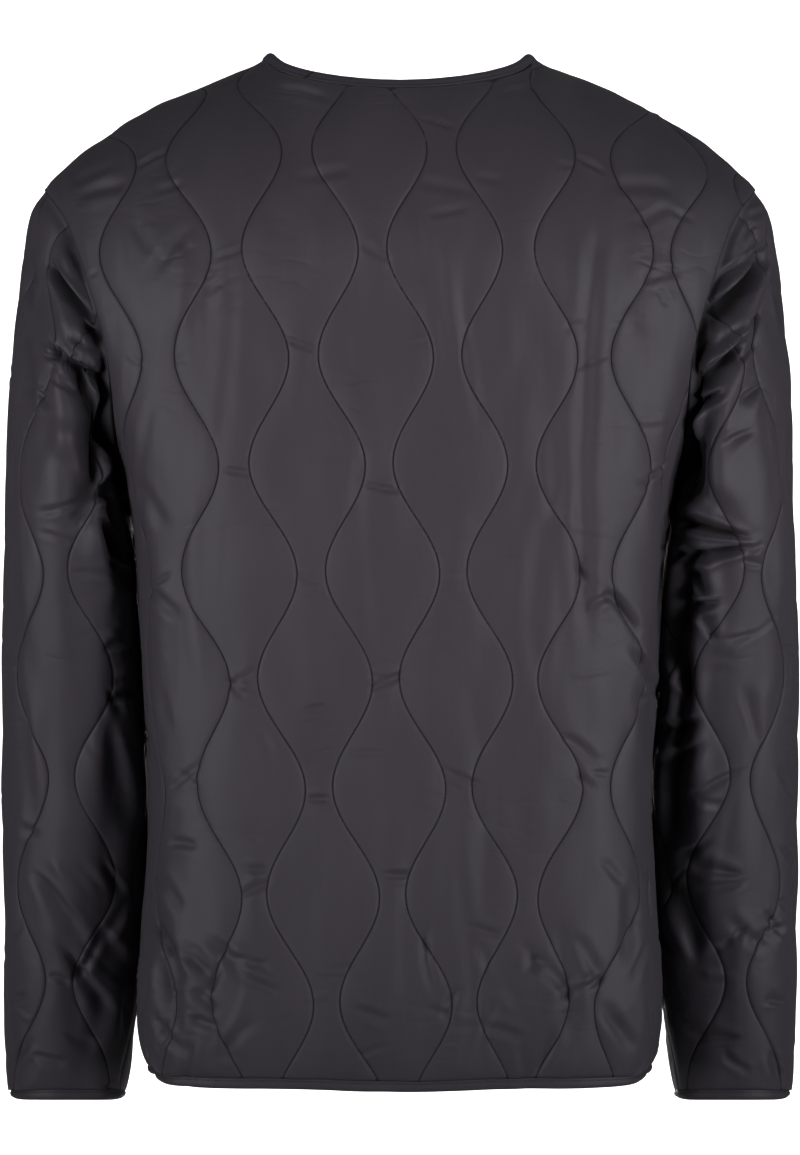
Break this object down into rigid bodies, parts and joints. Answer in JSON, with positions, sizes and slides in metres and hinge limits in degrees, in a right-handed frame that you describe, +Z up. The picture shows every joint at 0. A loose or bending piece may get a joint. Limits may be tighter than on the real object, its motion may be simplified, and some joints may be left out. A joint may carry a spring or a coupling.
{
  "type": "quilted jacket",
  "caption": "Collarless padded jacket in worn, hollow form, with long sleeves, wave quilting, narrow bound edges and a front that fastens with press studs.",
  "frame": {"origin": "midway between the points where the shoulder seams meet the neck, where the wearer's neck and shoulders hold it", "axes": "+Z up, the front faces -Y, the wearer's left is +X"},
  "size_m": [0.561, 0.2526, 0.7332],
  "materials": {
    "face_cloth": "dark charcoal plain-woven synthetic taffeta, quilted over thin wadding, with a soft sheen",
    "binding_cloth": "the same cloth folded as a narrow binding, a little darker",
    "stud_metal": "black-coated press studs, satin"
  },
  "bodies": {
    "root": {"back": "face_cloth", "front_left": "face_cloth", "front_right": "face_cloth", "sleeve_left": "face_cloth", "sleeve_right": "face_cloth", "neck_binding": "binding_cloth", "front_binding_left": "binding_cloth", "front_binding_right": "binding_cloth", "hem_binding": "binding_cloth", "cuff_binding_left": "binding_cloth", "cuff_binding_right": "binding_cloth", "snap_cap_1": "stud_metal", "snap_cap_2": "stud_metal", "snap_cap_3": "stud_metal", "snap_cap_4": "stud_metal", "snap_cap_5": "stud_metal", "snap_back_1": "stud_metal", "snap_back_2": "stud_metal", "snap_back_3": "stud_metal", "snap_back_4": "stud_metal", "snap_back_5": "stud_metal"}
  },
  "joints": []
}
